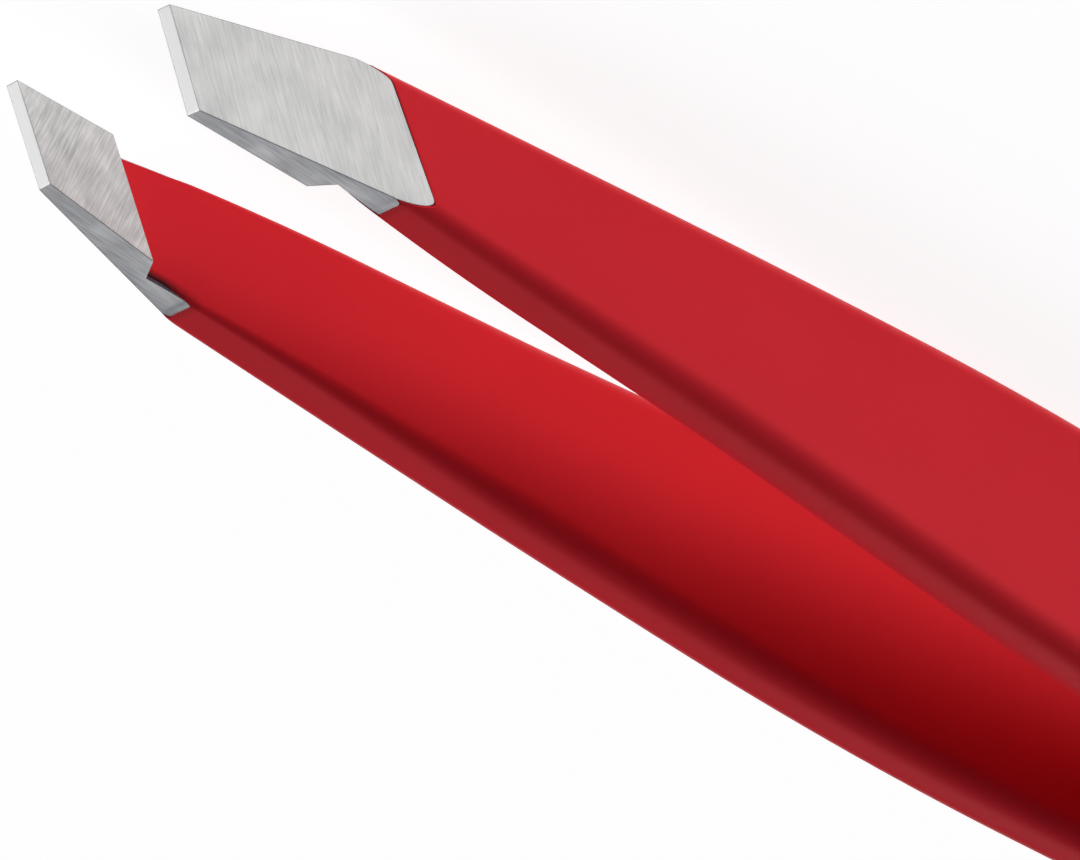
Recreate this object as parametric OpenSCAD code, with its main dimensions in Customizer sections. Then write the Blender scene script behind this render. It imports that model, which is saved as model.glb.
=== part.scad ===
// Slant tweezers: two spring arms of steel strip, welded together at the heel,
// with a coat of enamel over all but the ground tips.
//
// The tweezers lie on their side. X runs from the heel to the tips, Y is the
// way the arms open, and Z is the width of the strips. The origin is at the
// middle of the length, on the flat that the tweezers lie on.
// Places along the arms are given as s, the distance back from the foremost
// corner of the tips. The left arm is the one at +Y, and the right arm is its
// mirror image. The tips are ground with the arms pressed shut, so their
// surfaces are laid out in the closed pose and swung open with the arm.

/* [Overall] */
// Length from the heel to the foremost corner of the tips
overall_l = 95; // [88:1:110]
// Gap between the gripping edges when nobody squeezes the arms
tip_gap = 6.8; // [6:0.1:7.6]
// Gap left between the gripping edges when the arms are squeezed shut
closed_gap = 0.02; // [0.01:0.01:0.1]

/* [Steel strips] */
// Thickness of each strip from the grip to the heel
strip_t = 2.15; // [2:0.05:2.4]
// How much thinner each strip is behind its tip than at the grip
front_thin = 0.2; // [0:0.05:0.3]
// Width of each strip at the finger grip, its widest place
strip_w = 9.7; // [8.5:0.1:11]
// Radius of the long edges from the grip to the heel
grip_edge_r = 0.85; // [0.5:0.05:0.9]
// Radius of the outer long edges behind the tips and at the heel
outer_edge_r = 0.55; // [0.3:0.05:0.7]
// Radius of the inner long edges behind the gripping pads
pad_edge_r = 0.15; // [0.05:0.05:0.3]
// Radius of the inner edges where the strips lie together at the heel
seam_r = 0.25; // [0.1:0.05:0.4]

/* [Outline] */
// Width at the foremost corner of the tips
tip_w = 3.3; // [2.6:0.1:4]
// Distance from the tips to the front of the parallel grip
grip_front = 51; // [48:1:56]
// Distance from the heel to the rear of the parallel grip
grip_rear = 25; // [22:1:28]
// Length of the curve between the tapered front and the parallel grip
shoulder_l = 16; // [8:1:24]
// Width of the heel
heel_w = 8; // [7:0.1:8.5]
// Radius of the two corners of the heel
heel_corner_r = 2.4; // [1.5:0.1:3]

/* [Bow of the arms] */
// Length of the heel over which the strips lie together
weld_l = 11; // [9:0.5:12]
// Length of the bend in which each arm turns out of the heel
root_l = 6; // [4:0.5:6.5]
// Distance between the inner faces of the strips where the bow ends
face_gap = 8.2; // [7.8:0.1:8.6]
// Distance from the tips to the end of the bow
bow_end = 10; // [8:0.5:14]
// Angle at which each straight front end still spreads
front_angle = 0.5; // [0:0.1:1]

/* [Ground tips] */
// Angle between the gripping edge and a square end
slant_angle = 27.5; // [20:0.5:32]
// Thickness of each tip at its end face
tip_edge_t = 0.56; // [0.4:0.02:0.8]
// Slope of the outer facet, measured square to the gripping edge
facet_angle = 18.2; // [16.5:0.1:20]
// Length of the gripping pad, measured square to the gripping edge
pad_l = 4.55; // [3.5:0.05:5]
// Angle by which the closed pads open behind the gripping edge
pad_relief = 7.9; // [6:0.1:9]
// Slope of the step behind the gripping pad
step_angle = 65; // [50:1:75]
// Distance from the tips to the rear of the relief in the inner face
relief_l = 17.4; // [16:0.1:19]
// Radius of the relief in the inner face
relief_r = 101; // [95:1:120]
// Length of bare steel on the sides of the tips
side_bare_l = 9.8; // [9:0.1:12]
// Depth of steel ground off the sides of the tips along with the enamel
side_grind = 0.03; // [0.01:0.01:0.1]

/* [Enamel] */
// Thickness of the enamel
coat_t = 0.1; // [0.05:0.01:0.15]

/* [Heel welds] */
// Number of spot welds
weld_n = 2; // [1:1:2]
// Diameter of each weld
weld_d = 2.6; // [1.5:0.1:3]
// Depth of each weld through the joint
weld_depth = 0.9; // [0.5:0.1:1.4]
// Distance between the welds
weld_pitch = 4; // [3.2:0.1:4.5]

/* [Spring] */
// Distance ahead of the weld at which the bending of each arm is centred
flex_at = 8; // [6.5:0.5:9.5]

/* [Hidden] */

// Points in each quarter turn of a long edge, and their number round a strip
corner_n = 4;
ring_n = 4 * (corner_n + 1);
// A size longer than the whole tweezers, for cutting tools
far = 2 * overall_l;
// The strip itself ends inside the gripping pad, this far back from the tips
strip_end = 2;
// Places between which the strip grows to its full thickness and edge radius
thin_s = 8;
full_s = 26;

// Ends of the tweezers and of the steel inside its coat, and the mid-width
tip_x = overall_l / 2;
heel_x = -tip_x;
mid_z = strip_w / 2 + coat_t;
steel_heel_x = heel_x + coat_t;

// Outline: the half-width grows by taper for each millimetre behind the tips
grip_rear_s = overall_l - grip_rear;
shoulder_s = grip_front - shoulder_l;
taper = (strip_w - tip_w) / 2 / (grip_front - shoulder_l / 2);

// Bow: slopes of the inner face where it leaves the heel and at the tips
weld_x = heel_x + weld_l;
root_x = weld_x + root_l;
bow_l = tip_x - bow_end - root_x;
front_slope = tan(front_angle);
root_slope = (face_gap / 2 - front_slope * bow_l * 2 / 3) / (root_l / 2 + bow_l / 3);

// Spring: each arm swings about the innermost line of its coat
flex_x = weld_x + flex_at;
flex_y = face_y(flex_x) - coat_t * stretch(flex_x);

// Closed pose: where the foremost corner lies, and how far the arm swings
reach_x = tip_x - flex_x;
reach_y = tip_gap / 2 - flex_y;
closed_dy = flex_y - closed_gap / 2;
closed_dx = sqrt(reach_x * reach_x + reach_y * reach_y - closed_dy * closed_dy);
close_angle = atan2(reach_y, reach_x) + atan2(closed_dy, closed_dx);

// Evenly spaced places from a to b, without b
function places(a, b, n) = [for (i = [0 : n - 1]) a + (b - a) * i / n];

// Slope and place of the inner face of the left strip, without the relief
function bow_part(x) = min(1, (x - root_x) / bow_l);
function face_slope(x) =
    x <= weld_x ? 0
    : x <= root_x ? root_slope * (x - weld_x) / root_l
    : front_slope + (root_slope - front_slope) * pow(1 - bow_part(x), 2);
function face_y(x) =
    x <= weld_x ? 0
    : x <= root_x ? root_slope * pow(x - weld_x, 2) / (2 * root_l)
    : root_slope * root_l / 2 + front_slope * (x - root_x)
      + (root_slope - front_slope) * bow_l / 3 * (1 - pow(1 - bow_part(x), 3));

// A thickness measured along Y is this much more than square to the face
function stretch(x) = sqrt(1 + pow(face_slope(x), 2));

// Depth of the relief that thins the front of the strip from inside
function relief(s) = s >= relief_l ? 0 : pow(relief_l - s, 2) / (2 * relief_r);

// Half-width of the strip, before its heel corners are rounded
function side_z(s) =
    s <= shoulder_s ? tip_w / 2 + taper * s
    : s <= grip_front ? strip_w / 2 - taper * pow(grip_front - s, 2) / (2 * shoulder_l)
    : s <= grip_rear_s ? strip_w / 2
    : strip_w / 2 - (strip_w - heel_w) / 2 * pow((s - grip_rear_s) / grip_rear, 2);

// What a corner of radius r takes off, at a distance e from the end
function corner_cut(r, e) = e >= r ? 0 : r - sqrt(r * r - pow(r - max(0, e), 2));

// Thickness of the strip, and radii of its inner and outer long edges
function thickness(s) = lookup(s, [[thin_s, strip_t - front_thin], [full_s, strip_t]]);
function inner_r(s) = lookup(s, [
    [thin_s, pad_edge_r], [full_s, grip_edge_r],
    [tip_x - root_x, grip_edge_r], [tip_x - weld_x, seam_r]]);
function outer_r(s) = lookup(s, [
    [strip_end, pad_edge_r], [thin_s, outer_edge_r], [full_s, grip_edge_r],
    [tip_x - root_x, grip_edge_r], [tip_x - weld_x, outer_edge_r]]);

// One quarter turn of an edge: centre [y, z], radius r, from angle a
function quarter(x, y, z, r, a) =
    [for (i = [0 : corner_n]) [x, y + r * cos(a + 90 * i / corner_n), z + r * sin(a + 90 * i / corner_n)]];

// The strip's section at x, as a ring of points, all round larger by grow
function section(x, grow) =
    let (s = tip_x - x,
         end = x - steel_heel_x + grow,
         ro = outer_r(s) + grow,
         ri = inner_r(s) + grow,
         y0 = face_y(x) + relief(s) - grow * stretch(x),
         y1 = face_y(x) + (thickness(s) + grow) * stretch(x) - corner_cut(ro, end),
         h = side_z(s) + grow - corner_cut(heel_corner_r + grow, end))
    concat(quarter(x, y1 - ro, mid_z + h - ro, ro, 0),
           quarter(x, y0 + ri, mid_z + h - ri, ri, 90),
           quarter(x, y0 + ri, mid_z - h + ri, ri, 180),
           quarter(x, y1 - ro, mid_z - h + ro, ro, 270));

// Faces of the walls between rings, the rings following from point first
function walls(rings, first, flip) =
    [for (k = [0 : rings - 2], i = [0 : ring_n - 1])
        let (a = first + k * ring_n + i,
             b = first + k * ring_n + (i + 1) % ring_n,
             quad = [a, a + ring_n, b + ring_n, b])
        flip ? [quad[3], quad[2], quad[1], quad[0]] : quad];

// A solid length of strip through the places xs, all round larger by grow
module strip(xs, grow) {
    rings = len(xs);
    last = (rings - 1) * ring_n;
    polyhedron(
        points = [for (x = xs) each section(x, grow)],
        faces = concat(walls(rings, 0, false),
                       [[for (i = [0 : ring_n - 1]) i]],
                       [[for (i = [ring_n - 1 : -1 : 0]) last + i]]));
}

// The coat round a length of strip, open at both ends
module sleeve(xs) {
    rings = len(xs);
    inside = rings * ring_n;
    last = (rings - 1) * ring_n;
    polyhedron(
        points = concat([for (x = xs) each section(x, coat_t)],
                        [for (x = xs) each section(x, 0)]),
        faces = concat(walls(rings, 0, false),
                       walls(rings, inside, true),
                       [for (i = [0 : ring_n - 1])
                           let (j = (i + 1) % ring_n)
                           [inside + j, inside + i, i, j]],
                       [for (i = [0 : ring_n - 1])
                           let (j = (i + 1) % ring_n)
                           [inside + last + i, inside + last + j, last + j, last + i]]));
}

// Places of the rings in the heel, closest together round its corners
function heel_places(grow) =
    concat([for (a = [0 : 15 : 75]) steel_heel_x - grow + (heel_corner_r + grow) * (1 - cos(a))],
           places(steel_heel_x + heel_corner_r, weld_x, 3),
           places(weld_x, root_x, 4),
           [root_x, flex_x]);

// Places of the rings in the arm, from the flexure to the tip
arm_places = concat(places(flex_x, tip_x - grip_rear_s, 2),
                    places(tip_x - grip_rear_s, tip_x - grip_front, 4),
                    places(tip_x - grip_front, tip_x - shoulder_s, 5),
                    places(tip_x - shoulder_s, tip_x - full_s, 2),
                    places(tip_x - full_s, tip_x - relief_l, 2),
                    places(tip_x - relief_l, tip_x - thin_s, 5),
                    places(tip_x - thin_s, tip_x - strip_end, 3),
                    [tip_x - strip_end]);

// Swings a shape laid out in the closed pose to where the left arm rests
module swing_open() {
    translate([flex_x, flex_y, 0])
        rotate([0, 0, close_angle])
            translate([-flex_x, -flex_y, 0])
                children();
}

// A profile drawn square to the gripping edge, with [0, 0] on the edge,
// its first number back from the edge and its second outwards, run along it
module along_edge(profile) {
    swing_open()
        translate([flex_x + closed_dx, closed_gap / 2, mid_z - tip_w / 2])
            rotate([0, 180 - slant_angle, 0])
                linear_extrude(height = far, center = true)
                    polygon(profile);
}

// All that the end face and the outer facet leave behind, from back on
module ground_space(back) {
    along_edge([[back, -far],
                [back, tip_edge_t + back * tan(facet_angle)],
                [far, tip_edge_t + far * tan(facet_angle)],
                [far, -far]]);
}

// What is ground off the two sides of the front of the strip
module side_waste() {
    ahead = -strip_w / 2;
    for (side = [-1, 1])
        translate([0, far / 2, 0])
            rotate([90, 0, 0])
                linear_extrude(height = far)
                    polygon([for (c = [[side_bare_l, 0], [ahead, 0], [ahead, far], [side_bare_l, far]])
                        [tip_x - c[0], mid_z + side * (side_z(c[0]) - side_grind + c[1])]]);
}

// The raised gripping pad, with the step behind it
module pad() {
    rear_y = pad_l * tan(pad_relief);
    intersection() {
        along_edge([[0, 0],
                    [pad_l, rear_y],
                    [pad_l + strip_t / tan(step_angle), rear_y + strip_t],
                    [0, rear_y + strip_t]]);
        translate([tip_x - side_bare_l, 0, 0])
            cube([far, far, 2 * mid_z]);
    }
}

// Distance back from the edge at which the step has reached the strip
step_y = pad_l * tan(pad_relief);
step_back = pad_l + (strip_t / 2) / tan(step_angle);

module arm_steel() {
    difference() {
        intersection() {
            union() {
                strip(arm_places, 0);
                pad();
            }
            ground_space(0);
        }
        side_waste();
    }
}

// The coat of the arm, ground away with the facet, the pad and the sides
module arm_coat() {
    difference() {
        intersection() {
            sleeve(arm_places);
            ground_space(step_back);
        }
        side_waste();
    }
}

// The spot welds, as discs across the joint between the strips
module welds() {
    for (i = [0 : weld_n - 1])
        translate([heel_x + weld_l / 2 + (i - (weld_n - 1) / 2) * weld_pitch, 0, mid_z])
            rotate([90, 0, 0])
                cylinder(d = weld_d, h = weld_depth, center = true, $fn = 48);
}

module heel_steel() {
    difference() {
        strip(heel_places(0), 0);
        welds();
    }
}

module left_heel() {
    color("silver") heel_steel();
}

module right_heel() {
    color("silver") mirror([0, 1, 0]) heel_steel();
}

module spot_welds() {
    color("dimgray") welds();
}

module heel_enamel() {
    color("crimson")
        difference() {
            union() {
                strip(heel_places(coat_t), coat_t);
                mirror([0, 1, 0]) strip(heel_places(coat_t), coat_t);
            }
            strip(heel_places(0), 0);
            mirror([0, 1, 0]) strip(heel_places(0), 0);
        }
}

module left_arm() {
    color("silver") arm_steel();
}

module left_arm_enamel() {
    color("crimson") arm_coat();
}

module right_arm() {
    color("silver") mirror([0, 1, 0]) arm_steel();
}

module right_arm_enamel() {
    color("crimson") mirror([0, 1, 0]) arm_coat();
}

left_heel();
right_heel();
spot_welds();
heel_enamel();
left_arm();
left_arm_enamel();
right_arm();
right_arm_enamel();
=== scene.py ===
"""Slant tweezers with enamelled arms and bare ground tips, lying on their side.

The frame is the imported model's: X runs from the heel to the tips, Y is the way
the arms open, Z is the width of the strips, and the floor is at z = 0. Sizes
are in millimetres, and turn to metres where a mesh, a pattern or the frame takes
them. A place called s is the distance back from the foremost corner of the tips.
"""
import math

import bmesh
import bpy
from mathutils import Matrix, Vector


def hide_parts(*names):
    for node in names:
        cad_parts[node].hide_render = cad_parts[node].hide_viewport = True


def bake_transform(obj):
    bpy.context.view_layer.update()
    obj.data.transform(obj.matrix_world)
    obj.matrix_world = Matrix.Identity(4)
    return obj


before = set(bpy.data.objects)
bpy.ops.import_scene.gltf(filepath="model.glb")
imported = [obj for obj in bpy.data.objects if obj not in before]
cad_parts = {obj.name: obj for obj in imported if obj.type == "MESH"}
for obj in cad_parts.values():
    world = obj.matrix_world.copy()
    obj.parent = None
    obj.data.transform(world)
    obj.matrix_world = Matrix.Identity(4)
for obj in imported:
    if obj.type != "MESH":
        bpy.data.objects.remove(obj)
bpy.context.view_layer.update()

MM = 0.001


# --- small helpers ---------------------------------------------------------

def linear(hex_colour):
    """An sRGB hex colour as the linear RGBA that a shader reads."""
    parts = [int(hex_colour[i:i + 2], 16) / 255 for i in (1, 3, 5)]
    return [c / 12.92 if c <= 0.04045 else ((c + 0.055) / 1.055) ** 2.4 for c in parts] + [1.0]


def add(tree, kind, links=(), **settings):
    """Adds a node with its settings. links gives its inputs in order, or by
    name as a dict, as values or as the sockets that feed them."""
    node = tree.nodes.new(kind)
    for name, value in settings.items():
        setattr(node, name, value)
    pairs = links.items() if isinstance(links, dict) else enumerate(links)
    for key, value in pairs:
        if isinstance(value, bpy.types.NodeSocket):
            tree.links.new(value, node.inputs[key])
        elif value is not None:
            node.inputs[key].default_value = value
    return node


def new_material(name):
    """A material with an empty node tree."""
    made = bpy.data.materials.new(name)
    made.use_nodes = True
    made.node_tree.nodes.clear()
    return made


# --- sizes -----------------------------------------------------------------

length = 95.0
tip_gap, closed_gap = 6.8, 0.02    # between the tips, at rest and shut

# The steel strips: how thick and wide, and the radii of their long edges
strip_t, front_thin, strip_w = 2.15, 0.2, 9.7
grip_edge_r, outer_edge_r, pad_edge_r, seam_r = 0.85, 0.55, 0.15, 0.25
strip_end, thin_s, full_s = 2.0, 8.0, 26.0    # s where they end, start to thicken, and are full

# Their outline from the tips over the grip to the heel
tip_w, grip_front, grip_rear, shoulder_l = 3.3, 51.0, 25.0, 16.0
heel_w, heel_corner_r = 8.0, 2.4

# The bow of the arms, and where ahead of the weld they bend, and for how far each way
weld_l, root_l, face_gap, bow_end = 11.0, 6.0, 8.2, 10.0
front_slope = math.tan(math.radians(0.5))
flex_at, bend_half_l = 8.0, 5.0

# The ground tips: end face and facet, pad and step, relief, and bare sides
slant = math.radians(27.5)
tip_edge_t, facet = 0.56, math.tan(math.radians(18.2))
pad_l, pad_slope, step_slope = 4.55, math.tan(math.radians(7.9)), math.tan(math.radians(65))
relief_l, relief_r = 17.4, 101.0
side_bare_l, side_grind, side_run_out = 9.8, 0.03, 0.4

# The coat, thinner in front, ground down beside the bare sides, and with a painted shade
# along the upper side near the tips: s where the darkening begins and is full, and how far in from
# the side
coat_t, front_coat_t, seam_gap = 0.1, 0.03, 0.008
coat_grind, coat_run_out = 0.12, 1.5
edge_shade_s, full_edge_shade_s, edge_shade_in, full_edge_shade_in = 10.2, 8.4, 0.5, 0.15

# Worked out from these: places, then slopes, then the swing that shuts the tips
tip_x = length / 2
heel_x = -tip_x
mid_z = strip_w / 2 + coat_t
weld_x = heel_x + weld_l
root_x = weld_x + root_l
bow_l = tip_x - bow_end - root_x
root_slope = (face_gap / 2 - front_slope * bow_l * 2 / 3) / (root_l / 2 + bow_l / 3)
taper = (strip_w - tip_w) / 2 / (grip_front - shoulder_l / 2)
flex_x = weld_x + flex_at
bow_left = 1 - (flex_x - root_x) / bow_l
flex_slope = front_slope + (root_slope - front_slope) * bow_left ** 2
flex_y = (root_slope * root_l / 2 + front_slope * (flex_x - root_x)
          + (root_slope - front_slope) * bow_l / 3 * (1 - bow_left ** 3)
          - coat_t * math.hypot(1, flex_slope))
reach = math.hypot(tip_x - flex_x, tip_gap / 2 - flex_y)
closed_dy = flex_y - closed_gap / 2
closed_dx = math.sqrt(reach ** 2 - closed_dy ** 2)
close_angle = math.atan2(tip_gap / 2 - flex_y, tip_x - flex_x) + math.atan2(closed_dy, closed_dx)


# --- the bowed strip, by rule ----------------------------------------------

# Inputs of the strip's node tree: what a maker would set, in millimetres
STRIP_SIZES = {
    "Heel end": heel_x + coat_t, "Front end": tip_x - strip_end, "Tip place": tip_x,
    "Coat": 0.0, "Front coat": 0.0,
    "Thickness": strip_t, "Front thickness": strip_t - front_thin,
    "Grip width": strip_w, "Heel width": heel_w, "Side taper": taper,
    "Grip front": grip_front, "Grip rear": grip_rear, "Shoulder": shoulder_l,
    "Heel corner": heel_corner_r, "Middle height": mid_z,
    "Weld place": weld_x, "Root length": root_l, "Root slope": root_slope,
    "Bow length": bow_l, "Front slope": front_slope,
    "Relief length": relief_l, "Relief radius": relief_r,
    "Grip edge": grip_edge_r, "Outer edge": outer_edge_r, "Pad edge": pad_edge_r,
    "Seam edge": seam_r, "Strip end": strip_end, "Thin place": thin_s, "Full place": full_s,
}
STRIP_COUNTS = {"Rings": 400, "Edge steps": 10}   # along the strip, and in each rounded edge
HEEL_CROWD = 0.03   # the smaller, the closer the rings crowd at the heel

# The strip's shape, one step a line: name, operation and what it works on.
# p is how far along the strip from 0 to 1, and turn the angle round it.
STRIP_RULE = (
    # the place x of each ring, crowded towards the rounded heel, and the coat there
    ("p square", "MULTIPLY_ADD", "p", "p", HEEL_CROWD ** 2),
    ("p root", "SQRT", "p square"),
    ("p eased", "SUBTRACT", "p root", HEEL_CROWD),
    ("p even", "DIVIDE", "p eased", math.hypot(1, HEEL_CROWD) - HEEL_CROWD),
    ("all", "SUBTRACT", "Front end", "Heel end"),
    ("x", "MULTIPLY_ADD", "p even", "all", "Heel end"),
    ("s", "SUBTRACT", "Tip place", "x"),
    ("coat", "MAP", "s", "Thin place", "Full place", "Front coat", "Coat"),
    # the inner face: a bend out of the heel, then a cubic bow
    ("past weld", "SUBTRACT", "x", "Weld place"),
    ("past root", "SUBTRACT", "past weld", "Root length"),
    ("root part", "MAP", "past weld", 0.0, "Root length", 0.0, 1.0),
    ("left", "MAP", "past root", 0.0, "Bow length", 1.0, 0.0),
    ("left square", "MULTIPLY", "left", "left"),
    ("left cube", "MULTIPLY", "left square", "left"),
    ("slope drop", "SUBTRACT", "Root slope", "Front slope"),
    ("bow slope", "MULTIPLY_ADD", "left square", "slope drop", "Front slope"),
    ("slope", "MULTIPLY", "root part", "bow slope"),
    ("slope square", "MULTIPLY_ADD", "slope", "slope", 1.0),
    ("stretch", "SQRT", "slope square"),
    ("root part square", "MULTIPLY", "root part", "root part"),
    ("root run", "MULTIPLY", "Root length", 0.5),
    ("root rise", "MULTIPLY", "Root slope", "root run"),
    ("rise 1", "MULTIPLY", "root part square", "root rise"),
    ("bow run", "MAXIMUM", "past root", 0.0),
    ("rise 2", "MULTIPLY_ADD", "Front slope", "bow run", "rise 1"),
    ("gone", "SUBTRACT", 1.0, "left cube"),
    ("third", "DIVIDE", "Bow length", 3.0),
    ("cubic", "MULTIPLY", "third", "slope drop"),
    ("rise 3", "MULTIPLY_ADD", "gone", "cubic", "rise 2"),
    # the relief that thins the front from inside
    ("relief far", "SUBTRACT", "Relief length", "s"),
    ("relief run", "MAXIMUM", "relief far", 0.0),
    ("relief square", "MULTIPLY", "relief run", "relief run"),
    ("relief depth", "DIVIDE", "relief square", "Relief radius"),
    ("face", "MULTIPLY_ADD", "relief depth", 0.5, "rise 3"),
    # the half-width: straight taper, shoulder, parallel grip, heel
    ("grip far", "SUBTRACT", "Grip front", "s"),
    ("grip run", "MAXIMUM", "grip far", 0.0),
    ("turn run", "MINIMUM", "grip run", "Shoulder"),
    ("turn square", "MULTIPLY", "turn run", "turn run"),
    ("turn depth", "DIVIDE", "turn square", "Shoulder"),
    ("taper run", "SUBTRACT", "grip run", "turn run"),
    ("taper depth", "MULTIPLY_ADD", "turn depth", 0.5, "taper run"),
    ("front drop", "MULTIPLY", "taper depth", "Side taper"),
    ("heel run", "SUBTRACT", "x", "Heel end"),
    ("heel part", "MAP", "heel run", 0.0, "Grip rear", 1.0, 0.0),
    ("heel square", "MULTIPLY", "heel part", "heel part"),
    ("heel less", "SUBTRACT", "Grip width", "Heel width"),
    ("heel drop", "MULTIPLY", "heel square", "heel less"),
    ("drop", "MULTIPLY_ADD", "heel drop", 0.5, "front drop"),
    ("half", "MULTIPLY_ADD", "Grip width", 0.5, "coat"),
    ("half side", "SUBTRACT", "half", "drop"),
    # the radii of the long edges
    ("outer growth", "SUBTRACT", "Grip edge", "Outer edge"),
    ("outer tip r", "MAP", "s", "Strip end", "Thin place", "Pad edge", "Outer edge"),
    ("outer more r", "MAP", "s", "Thin place", "Full place", 0.0, "outer growth"),
    ("outer front r", "ADD", "outer tip r", "outer more r"),
    ("outer rear r", "MAP", "past weld", 0.0, "Root length", "Outer edge", "Grip edge"),
    ("outer steel r", "MINIMUM", "outer front r", "outer rear r"),
    ("inner front r", "MAP", "s", "Thin place", "Full place", "Pad edge", "Grip edge"),
    ("inner rear r", "MAP", "past weld", 0.0, "Root length", "Seam edge", "Grip edge"),
    ("inner steel r", "MINIMUM", "inner front r", "inner rear r"),
    ("outer r", "ADD", "outer steel r", "coat"),
    ("inner r", "ADD", "inner steel r", "coat"),
    # what the rounded end takes off the outer face and the sides
    ("back left", "SUBTRACT", "outer r", "heel run"),
    ("back run", "MAXIMUM", "back left", 0.0),
    ("back square", "MULTIPLY", "back run", "back run"),
    ("back r square", "MULTIPLY", "outer r", "outer r"),
    ("back rest", "SUBTRACT", "back r square", "back square"),
    ("back root", "SQRT", "back rest"),
    ("back cut", "SUBTRACT", "outer r", "back root"),
    ("corner r", "ADD", "Heel corner", "coat"),
    ("corner left", "SUBTRACT", "corner r", "heel run"),
    ("corner run", "MAXIMUM", "corner left", 0.0),
    ("corner square", "MULTIPLY", "corner run", "corner run"),
    ("corner r square", "MULTIPLY", "corner r", "corner r"),
    ("corner rest", "SUBTRACT", "corner r square", "corner square"),
    ("corner root", "SQRT", "corner rest"),
    ("corner cut", "SUBTRACT", "corner r", "corner root"),
    # the box that the four rounded edges sit in
    ("thick", "MAP", "s", "Thin place", "Full place", "Front thickness", "Thickness"),
    ("outward", "ADD", "thick", "coat"),
    ("outer face", "MULTIPLY_ADD", "outward", "stretch", "rise 3"),
    ("y outer", "SUBTRACT", "outer face", "back cut"),
    ("inward", "MULTIPLY", "coat", "stretch"),
    ("y inner", "SUBTRACT", "face", "inward"),
    ("half z", "SUBTRACT", "half side", "corner cut"),
    # which edge a point is on, and its angle there
    ("turns", "DIVIDE", "turn", 2 * math.pi),
    ("points", "MULTIPLY", "turns", "Round points"),
    ("whole", "ROUND", "points"),
    ("point", "FLOORED_MODULO", "whole", "Round points"),
    ("in one", "ADD", "Edge steps", 1.0),
    ("edges", "DIVIDE", "point", "in one"),
    ("edge", "FLOOR", "edges"),
    ("step", "FLOORED_MODULO", "point", "in one"),
    ("part", "DIVIDE", "step", "Edge steps"),
    ("quarter", "ADD", "edge", "part"),
    ("angle", "MULTIPLY", "quarter", math.pi / 2),
    ("inside", "COMPARE", "edge", 1.5, 0.6),
    ("under", "GREATER_THAN", "edge", 1.5),
    # the point itself
    ("r less", "SUBTRACT", "inner r", "outer r"),
    ("r", "MULTIPLY_ADD", "inside", "r less", "outer r"),
    ("outer centre", "SUBTRACT", "y outer", "outer r"),
    ("inner centre", "ADD", "y inner", "inner r"),
    ("centre less", "SUBTRACT", "inner centre", "outer centre"),
    ("centre y", "MULTIPLY_ADD", "inside", "centre less", "outer centre"),
    ("side", "MULTIPLY_ADD", "under", -2.0, 1.0),
    ("centre z", "SUBTRACT", "half z", "r"),
    ("centre side", "MULTIPLY_ADD", "centre z", "side", "Middle height"),
    ("cos", "COSINE", "angle"),
    ("sin", "SINE", "angle"),
    ("y", "MULTIPLY_ADD", "r", "cos", "centre y"),
    ("z", "MULTIPLY_ADD", "r", "sin", "centre side"),
)


def strip_tree():
    """The node tree that makes a bowed, tapered strip with rounded edges."""
    tree = bpy.data.node_groups.new("Bowed strip", "GeometryNodeTree")
    ports = tree.interface
    ports.new_socket("Geometry", in_out="INPUT", socket_type="NodeSocketGeometry")
    ports.new_socket("Geometry", in_out="OUTPUT", socket_type="NodeSocketGeometry")
    for name, value in STRIP_SIZES.items():
        ports.new_socket(name, in_out="INPUT", socket_type="NodeSocketFloat").default_value = value
    for name, value in STRIP_COUNTS.items():
        ports.new_socket(name, in_out="INPUT", socket_type="NodeSocketInt").default_value = value
    ports.new_socket("Material", in_out="INPUT", socket_type="NodeSocketMaterial")
    given = add(tree, "NodeGroupInput")
    known = {socket.name: socket for socket in given.outputs if socket.name}

    steps = add(tree, "ShaderNodeMath", (known["Edge steps"], 1.0), operation="ADD")
    around = add(tree, "ShaderNodeMath", (steps.outputs[0], 4.0), operation="MULTIPLY")
    known["Round points"] = around.outputs[0]
    tube = add(tree, "GeometryNodeMeshCylinder",
               {"Vertices": around.outputs[0], "Side Segments": known["Rings"],
                "Radius": 1.0, "Depth": 1.0})
    place = add(tree, "ShaderNodeSeparateXYZ", (add(tree, "GeometryNodeInputPosition").outputs[0],))
    known["p"] = add(tree, "ShaderNodeMath", (place.outputs[2], 0.5), operation="ADD").outputs[0]
    known["turn"] = add(tree, "ShaderNodeMath", (place.outputs[1], place.outputs[0]),
                        operation="ARCTAN2").outputs[0]
    for name, operation, *parts in STRIP_RULE:
        links = [known[part] if isinstance(part, str) else part for part in parts]
        if operation == "MAP":
            node = add(tree, "ShaderNodeMapRange", links, label=name)
        else:
            node = add(tree, "ShaderNodeMath", links, operation=operation, label=name)
        known[name] = node.outputs[0]
    point = add(tree, "ShaderNodeCombineXYZ", (known["x"], known["y"], known["z"]))
    metres = add(tree, "ShaderNodeVectorMath", {0: point.outputs[0], "Scale": MM}, operation="SCALE")
    moved = add(tree, "GeometryNodeSetPosition",
                {"Geometry": tube.outputs["Mesh"], "Position": metres.outputs[0]})
    real = add(tree, "GeometryNodeRealizeInstances", (moved.outputs[0],))
    done = add(tree, "GeometryNodeSetMaterial",
               {"Geometry": real.outputs[0], "Material": known["Material"]})
    add(tree, "NodeGroupOutput", (done.outputs[0],))
    return tree


def strip(name, tree, material, **sizes):
    """An object with the strip's tree on it. Sizes are inputs by name."""
    piece = bpy.data.objects.new(name, bpy.data.meshes.new(name))
    bpy.context.scene.collection.objects.link(piece)
    made = piece.modifiers.new("Strip", "NODES")
    made.node_group = tree
    sizes["Material"] = material
    for socket in tree.interface.items_tree:
        wanted = socket.name.replace(" ", "_")
        if socket.in_out == "INPUT" and wanted in sizes:
            made[socket.identifier] = sizes[wanted]
    return piece


# --- grinding and trimming -------------------------------------------------

FAR = 2 * length

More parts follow.
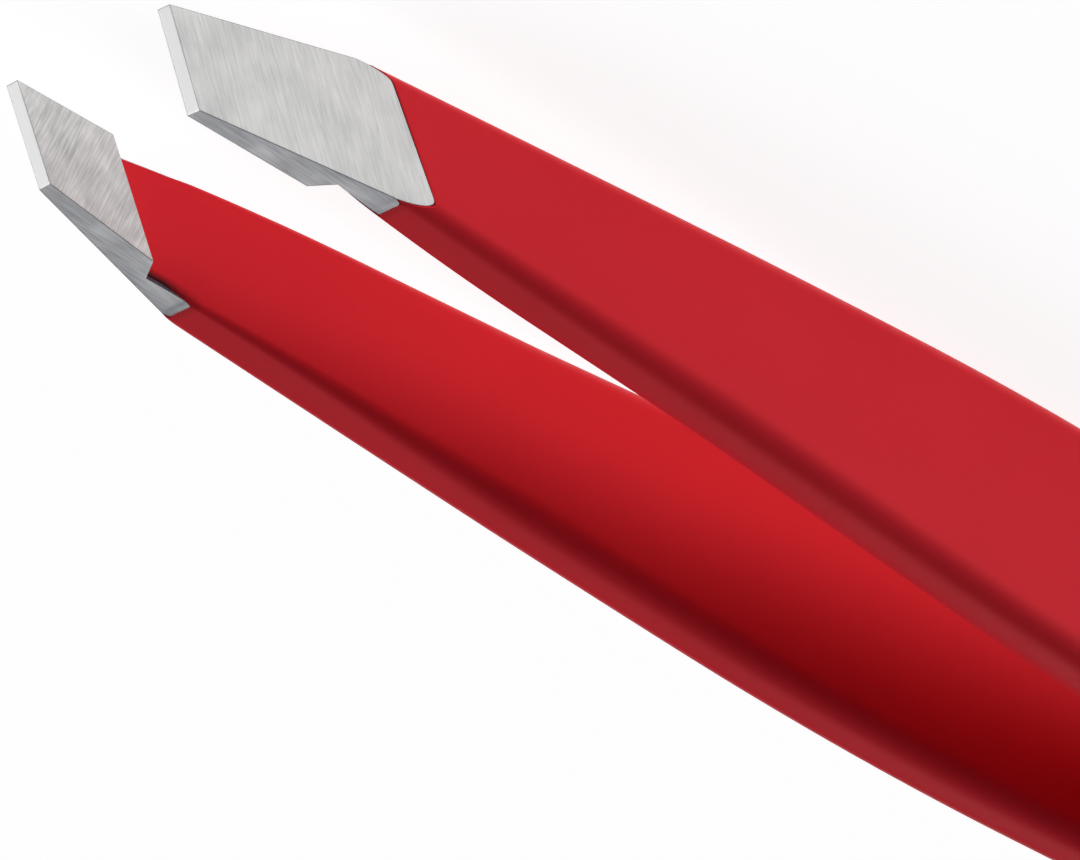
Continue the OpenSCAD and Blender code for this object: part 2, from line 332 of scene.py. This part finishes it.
SWING_OPEN = (Matrix.Translation((flex_x, flex_y, 0)) @ Matrix.Rotation(close_angle, 4, "Z")
              @ Matrix.Translation((-flex_x, -flex_y, 0)))
# Square to the gripping edge: first back from it, then outwards, then along it
ALONG_EDGE = (SWING_OPEN @ Matrix.Translation((flex_x + closed_dx, closed_gap / 2, mid_z - tip_w / 2))
              @ Matrix.Rotation(math.pi - slant, 4, "Y"))


def prism(name, profile, place, half_run=FAR):
    """A closed prism: profile in its own plane, run both ways square to it."""
    points = [Vector((u, v, run)) for run in (-half_run, half_run) for u, v in profile]
    n = len(profile)
    faces = [list(range(n))[::-1], list(range(n, 2 * n))]
    faces += [[i, (i + 1) % n, n + (i + 1) % n, n + i] for i in range(n)]
    mesh = bpy.data.meshes.new(name)
    mesh.from_pydata([MM * (place @ point) for point in points], [], faces)
    draft = bmesh.new()
    draft.from_mesh(mesh)
    bmesh.ops.recalc_face_normals(draft, faces=draft.faces)
    draft.to_mesh(mesh)
    draft.free()
    piece = bpy.data.objects.new(name, mesh)
    bpy.context.scene.collection.objects.link(piece)
    return piece


def half_width(s):
    """Half the width of the tapered front of the steel, s behind the tips."""
    return tip_w / 2 + taper * s


def ground_space(back):
    """What the end face and the outer facet leave, from back behind the edge."""
    return prism("ground_space", [(back, -FAR), (back, tip_edge_t + back * facet),
                                  (FAR, tip_edge_t + FAR * facet), (FAR, -FAR)], ALONG_EDGE)


def side_waste(side, depth, run_out_l):
    """What is ground off one side of the front of the strip, to depth below the
    steel's own side. Its last run_out_l runs out to that side evenly."""
    ahead, run_out = -strip_w / 2, side_bare_l - run_out_l
    # profile in X and Z, run along Y
    plane = Matrix(((1, 0, 0, 0), (0, 0, 1, 0), (0, 1, 0, 0), (0, 0, 0, 1)))
    corners = [(side_bare_l, depth), (run_out, 0), (ahead, 0), (ahead, FAR), (side_bare_l, FAR)]
    return prism("side_waste", [(tip_x - s, mid_z + side * (half_width(s) - depth + out))
                                for s, out in corners], plane)


def trim(piece, material, steps):
    """Joins, keeps or takes away a tool in each step, then leaves a plain mesh of
    one material, without the modifiers and the tools."""
    for operation, tool in steps:
        made = piece.modifiers.new(tool.name, "BOOLEAN")
        made.operation, made.object, made.solver = operation, tool, "EXACT"
    bpy.context.view_layer.update()
    found = piece.evaluated_get(bpy.context.evaluated_depsgraph_get())
    mesh = bpy.data.meshes.new_from_object(found)
    mesh.materials.clear()
    mesh.materials.append(material)
    for face in mesh.polygons:
        face.material_index = 0
    piece.modifiers.clear()
    piece.data = mesh
    for operation, tool in steps:
        bpy.data.objects.remove(tool)


def mirrored(piece, name):
    """The same piece for the other arm, mirrored across y = 0."""
    other = piece.copy()
    other.name = name
    other.data = piece.data.copy()
    other.data.transform(Matrix.Diagonal((1, -1, 1, 1)))
    other.data.flip_normals()
    bpy.context.scene.collection.objects.link(other)
    return other


# --- enamel ----------------------------------------------------------------

# Baked enamel with a dull satin gloss: an even deep red that mirrors little of the
# room, with a slow drift in its colour and a faint orange peel
enamel = new_material("baked_red_enamel")
tree = enamel.node_tree
place = add(tree, "ShaderNodeTexCoord")
clouds = add(tree, "ShaderNodeTexNoise",   # slow drift of the coat's thickness, 8 mm across
             {"Vector": place.outputs["Object"], "Scale": 1 / (8 * MM), "Detail": 2.0})
peel = add(tree, "ShaderNodeTexNoise",     # orange peel, 0.5 mm across
           {"Vector": place.outputs["Object"], "Scale": 1 / (0.5 * MM), "Detail": 1.0})
red = add(tree, "ShaderNodeMix",
          {0: clouds.outputs[0], 6: linear("#DC2932"), 7: linear("#E62D36")}, data_type="RGBA")
gloss = add(tree, "ShaderNodeMapRange", (peel.outputs[0], 0.3, 0.7, 0.34, 0.42))
bumps = add(tree, "ShaderNodeBump",
            {"Height": peel.outputs[0], "Strength": 1.0, "Distance": 0.002 * MM})
# where the coat is ground through, its dark primer shows as a thin line against the
# steel: coat_depth is 1 there, and 0 at the coat's outer face
deep_in = add(tree, "ShaderNodeAttribute", attribute_name="coat_depth")
primer = add(tree, "ShaderNodeMapRange", (deep_in.outputs["Fac"], 0.2, 0.7, 0.0, 0.8))
# painted shade: near the tips the coat beside the upper side darkens to the primer's dark colour,
# standing in for the shade on the rounded edge and in the recess behind the pad step
spot = add(tree, "ShaderNodeSeparateXYZ", (place.outputs["Object"],))
to_side = add(tree, "ShaderNodeMath", (spot.outputs[0], taper, spot.outputs[2]),
              operation="MULTIPLY_ADD")
side_line = mid_z + tip_w / 2 + taper * tip_x   # where the steel's side lies, on the same measure
near_side = add(tree, "ShaderNodeMapRange",
                (to_side.outputs[0], (side_line - edge_shade_in) * MM, (side_line - full_edge_shade_in) * MM,
                 0.0, 1.0))
near_tip = add(tree, "ShaderNodeMapRange",
               (spot.outputs[0], (tip_x - edge_shade_s) * MM, (tip_x - full_edge_shade_s) * MM, 0.0, 1.0))
painted_edge_shade = add(tree, "ShaderNodeMath", (near_side.outputs[0], near_tip.outputs[0]),
                   operation="MULTIPLY")
# the thin primer line where the coat is cut, and the painted edge shade, both take the dark colour
# below
primer_line_and_edge_shade = add(tree, "ShaderNodeMath", (primer.outputs[0], painted_edge_shade.outputs[0]),
            operation="MAXIMUM")
coat = add(tree, "ShaderNodeMix",
           {0: primer_line_and_edge_shade.outputs[0], 6: red.outputs[2], 7: linear("#30181A")}, data_type="RGBA")
shader = add(tree, "ShaderNodeBsdfPrincipled",
             {"Base Color": coat.outputs[2], "Roughness": gloss.outputs[0],
              "Specular IOR Level": 0.04, "Normal": bumps.outputs[0]})
add(tree, "ShaderNodeOutputMaterial", (shader.outputs[0],))


# --- steel -----------------------------------------------------------------

# Stainless steel ground on a belt: bright, grey and satin, with fine parallel
# streaks and duller patches. The UV map grain runs along the streaks in its first
# number, in millimetres, and the attribute cut is how deep a face's streaks are.
# Real streaks are 0.03 mm wide: they are drawn wider here so that they show.
streak_l, streak_w, patch_l = 1.4, 0.08, 1.4
steel = new_material("ground_stainless_steel")
tree = steel.node_tree
grain = add(tree, "ShaderNodeUVMap", uv_map="grain")
cut_depth = add(tree, "ShaderNodeAttribute", attribute_name="cut")
along = add(tree, "ShaderNodeMapping",
            {"Vector": grain.outputs[0], "Scale": (1 / streak_l, 1 / streak_w, 1)})
streaks = add(tree, "ShaderNodeTexNoise",
              {"Vector": along.outputs[0], "Scale": 1.0, "Detail": 4.0, "Distortion": 0.4})
patches = add(tree, "ShaderNodeTexNoise",
              {"Vector": grain.outputs[0], "Scale": 1 / patch_l, "Detail": 3.0})
deep = add(tree, "ShaderNodeMapRange", (streaks.outputs[0], 0.3, 0.7, -0.56, 0.56))
mottled = add(tree, "ShaderNodeMapRange", (patches.outputs[0], 0.3, 0.7, -0.4, 0.4))
# the deeper its streaks, the darker and the more uneven a face is
uneven = add(tree, "ShaderNodeMath", (deep.outputs[0], mottled.outputs[0]), operation="ADD")
shade = add(tree, "ShaderNodeMath", (uneven.outputs[0], cut_depth.outputs["Fac"]),
            operation="MULTIPLY")
level = add(tree, "ShaderNodeMath", (cut_depth.outputs["Fac"], -1.3, 0.68),
            operation="MULTIPLY_ADD")
total = add(tree, "ShaderNodeMath", (shade.outputs[0], level.outputs[0]), operation="ADD")
tone = add(tree, "ShaderNodeMapRange", (total.outputs[0], -1.0, 1.0, 0.0, 1.0))
grey = add(tree, "ShaderNodeMix",
           {0: tone.outputs[0], 6: linear("#7A7A7D"), 7: linear("#F4F3F0")}, data_type="RGBA")
dull = add(tree, "ShaderNodeMapRange", (tone.outputs[0], 0.0, 1.0, 0.46, 0.32))
# edges are slightly rounded by use; near them the grey is darkened, a painted shade standing in for
# the shadow line under the burr
broken = add(tree, "ShaderNodeBevel", {"Radius": 0.06 * MM}, samples=6)
surface = add(tree, "ShaderNodeNewGeometry")
alike = add(tree, "ShaderNodeVectorMath", (broken.outputs[0], surface.outputs["Normal"]),
            operation="DOT_PRODUCT")
steel_edge_shade = add(tree, "ShaderNodeMapRange", (alike.outputs["Value"], 0.85, 0.99, 0.45, 1.0))
# the grey, darkened near edges by the painted shade
grey_with_edge_shade = add(tree, "ShaderNodeVectorMath", {0: grey.outputs[2], "Scale": steel_edge_shade.outputs[0]},
            operation="SCALE")
height = add(tree, "ShaderNodeMath", (deep.outputs[0], cut_depth.outputs["Fac"]),
             operation="MULTIPLY")
furrows = add(tree, "ShaderNodeBump",
              {"Height": height.outputs[0], "Normal": broken.outputs[0],
               "Strength": 1.0, "Distance": 0.002 * MM})
shader = add(tree, "ShaderNodeBsdfPrincipled",
             {"Base Color": grey_with_edge_shade.outputs[0], "Metallic": 1.0, "Roughness": dull.outputs[0],
              "Normal": furrows.outputs[0]})
add(tree, "ShaderNodeOutputMaterial", (shader.outputs[0],))


# --- streaks on the steel --------------------------------------------------

# Which way the streaks run on a face, by its own two axes, and how deep they are
FACET_GRAIN, PAD_GRAIN = ((-0.46, 0.887), 0.35), ((0.42, 0.907), 0.53)
SIDE_GRAIN, END_GRAIN = ((1.0, 0.0), 0.5), ((1.0, 0.0), 0.06)
LEAN = 0.6   # how much of its normal lies along Y or Z on a face that counts as turned there


def lay_grain(mesh):
    """Lays the UV map grain and the attribute cut on a piece of the left arm."""
    mesh.uv_layers.new(name="grain")
    mesh.attributes.new("cut", "FLOAT", "FACE")
    lay, depth = mesh.uv_layers["grain"].data, mesh.attributes["cut"].data
    for face in mesh.polygons:
        normal = face.normal
        if abs(normal.y) > LEAN:
            (first, second), amount = FACET_GRAIN if normal.y > 0 else PAD_GRAIN
            axes = Vector((1, 0, 0)), Vector((0, 0, 1))
        elif abs(normal.z) > LEAN:
            (first, second), amount = SIDE_GRAIN
            axes = Vector((1, 0, 0)), Vector((0, 1, 0))
        else:
            (first, second), amount = END_GRAIN
            axes = Vector((0, 0, 1)), Vector((0, 1, 0))
        depth[face.index].value = amount
        for corner in face.loop_indices:
            point = mesh.vertices[mesh.loops[corner].vertex_index].co / MM
            u, v = point.dot(axes[0]), point.dot(axes[1])
            lay[corner].uv = (first * u + second * v, first * v - second * u)


# --- the pieces ------------------------------------------------------------

strip_rule = strip_tree()

# A strip of steel whose front is made wide and solid by the pad, then ground
left_steel = strip("left_steel", strip_rule, steel)
wide_pad = prism("wide_pad", [(0, 0), (pad_l, pad_l * pad_slope),
                              (pad_l + strip_t / step_slope, pad_l * pad_slope + strip_t),
                              (0, pad_l * pad_slope + strip_t)], ALONG_EDGE, strip_w)
trim(left_steel, steel, (("UNION", wide_pad), ("INTERSECT", ground_space(0)),
                         ("DIFFERENCE", side_waste(1, side_grind, side_run_out)),
                         ("DIFFERENCE", side_waste(-1, side_grind, side_run_out))))

# Its coat: the same strip one coat larger, hollowed by a core that runs out of its
# front, kept clear of the other arm's coat, and ground with the tip
left_enamel = strip("left_enamel", strip_rule, enamel, Coat=coat_t, Front_coat=front_coat_t,
                    Heel_end=heel_x)
core = strip("core", strip_rule, steel, Front_end=tip_x - strip_end / 2)
own_side = prism("own_side", [(-FAR, seam_gap / 2), (FAR, seam_gap / 2), (FAR, FAR), (-FAR, FAR)],
                 Matrix.Identity(4))
mid_step = pad_l + strip_t / 2 / step_slope
trim(left_enamel, enamel, (("INTERSECT", own_side), ("DIFFERENCE", core),
                           ("INTERSECT", ground_space(mid_step)),
                           ("DIFFERENCE", side_waste(1, coat_grind, coat_run_out)),
                           ("DIFFERENCE", side_waste(-1, coat_grind, coat_run_out))))

SHARP_TURN = math.radians(12)   # faces that meet at more than this keep a sharp edge
for piece in (left_steel, left_enamel):
    piece.data.shade_smooth()
    piece.data.set_sharp_from_angle(angle=SHARP_TURN)
lay_grain(left_steel.data)

TOUCH = 0.01   # the coat lies on the steel where it is nearer than this
sink = left_enamel.data.attributes.new("coat_depth", "FLOAT", "POINT").data
for point in left_enamel.data.vertices:
    nearest = left_steel.closest_point_on_mesh(point.co)[1]
    sink[point.index].value = float((point.co - nearest).length < TOUCH * MM)

right_steel = mirrored(left_steel, "right_steel")
right_enamel = mirrored(left_enamel, "right_enamel")

# The hinges stand for the spring of the arms, so each piece bends over a length
# Each new piece takes the place of the imported parts of its side, which are hidden, and has its
# place baked into its mesh
for piece, side, slot in ((left_steel, "left", "steel"), (right_steel, "right", "steel"),
                          (left_enamel, "left", "enamel"), (right_enamel, "right", "enamel")):
    if slot == "steel":
        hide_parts(side + "_heel", side + "_arm")
    else:
        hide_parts(side + "_arm_enamel", "heel_enamel")
    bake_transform(piece)

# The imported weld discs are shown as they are, in the strips' steel
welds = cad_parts["spot_welds"]
welds.data.materials.clear()
welds.data.materials.append(steel)


# --- floor, light and camera -----------------------------------------------

FLOOR_HALF = 3   # half the side of the square floor, in metres
floor_mesh = bpy.data.meshes.new("floor")
floor_mesh.from_pydata([(x * FLOOR_HALF, y * FLOOR_HALF, 0)
                        for x, y in ((-1, -1), (1, -1), (1, 1), (-1, 1))], [], [(0, 1, 2, 3)])
floor = bpy.data.objects.new("floor", floor_mesh)
bpy.context.scene.collection.objects.link(floor)

# White card: shows and mirrors as white, and keeps the shadows that fall on it
white = new_material("white_card")
tree = white.node_tree
rays = add(tree, "ShaderNodeLightPath")
seen = add(tree, "ShaderNodeMath", (rays.outputs["Is Camera Ray"], rays.outputs["Is Glossy Ray"]),
           operation="MAXIMUM")
shown = add(tree, "ShaderNodeMath", (seen.outputs[0], rays.outputs["Is Transmission Ray"]),
            operation="MAXIMUM")
lit = add(tree, "ShaderNodeBsdfDiffuse", {"Color": linear("#E6E6E6")})
glow = add(tree, "ShaderNodeEmission", {"Color": linear("#FFFFFF"), "Strength": 0.9})
shaded = add(tree, "ShaderNodeBsdfDiffuse", {"Color": linear("#808080")})
white_shaded = add(tree, "ShaderNodeAddShader", (glow.outputs[0], shaded.outputs[0]))
mixed = add(tree, "ShaderNodeMixShader", (shown.outputs[0], lit.outputs[0], white_shaded.outputs[0]))
add(tree, "ShaderNodeOutputMaterial", (mixed.outputs[0],))
floor_mesh.materials.append(white)

# The room: a dim, cool light from all sides
world = bpy.data.worlds.new("studio")
bpy.context.scene.world = world
world.use_nodes = True
world.node_tree.nodes["Background"].inputs[0].default_value = linear("#C8D4FF")
world.node_tree.nodes["Background"].inputs[1].default_value = 0.1


def soft_lamp(name, round_turn, up_turn, strength, spread=36):
    """A far soft lamp that shines from a direction, round from +X and up from the
    floor, and looks spread wide. Its angles are in degrees."""
    lamp = bpy.data.lights.new(name, "SUN")
    lamp.energy, lamp.angle = strength, math.radians(spread)
    made = bpy.data.objects.new(name, lamp)
    turn = Matrix.Rotation(math.radians(round_turn), 4, "Z")
    made.matrix_world = turn @ Matrix.Rotation(math.radians(90 - up_turn), 4, "Y")
    bpy.context.scene.collection.objects.link(made)


# The floor is lit through like a light table: two of the lamps shine from under it
floor.visible_shadow = False
soft_lamp("tip_lamp", 30, 35, 1.26)
soft_lamp("face_lamp", 308, -28, 1.81, 30)
soft_lamp("rear_lamp", 210, -10, 0.75)
soft_lamp("side_lamp", 150, 35, 0.52)
soft_lamp("edge_lamp", 60, 8, 0.35)

# The camera: a long lens far off, rolled almost upside down
CAMERA_AIM, CAMERA_FAR = (32.2711, -7.3197, 14.4607), 678.0
CAMERA_LENS, CAMERA_SENSOR = 666.667, 36.0
CAMERA_TURN = (44.0603, 31.4601, -177.0672)   # degrees: round, up and roll

camera_data = bpy.data.cameras.new("camera")
camera_data.lens, camera_data.sensor_width = CAMERA_LENS, CAMERA_SENSOR
camera = bpy.data.objects.new("camera", camera_data)
round_turn, up_turn, roll = map(math.radians, CAMERA_TURN)
camera.matrix_world = (Matrix.Translation(Vector(CAMERA_AIM) * MM)
                       @ Matrix.Rotation(round_turn, 4, "Z")
                       @ Matrix.Rotation(math.pi / 2 - up_turn, 4, "X")
                       @ Matrix.Rotation(roll, 4, "Z")
                       @ Matrix.Translation((0, 0, CAMERA_FAR * MM)))
bpy.context.scene.collection.objects.link(camera)
bpy.context.scene.camera = camera
bpy.context.scene.view_settings.view_transform = "Standard"
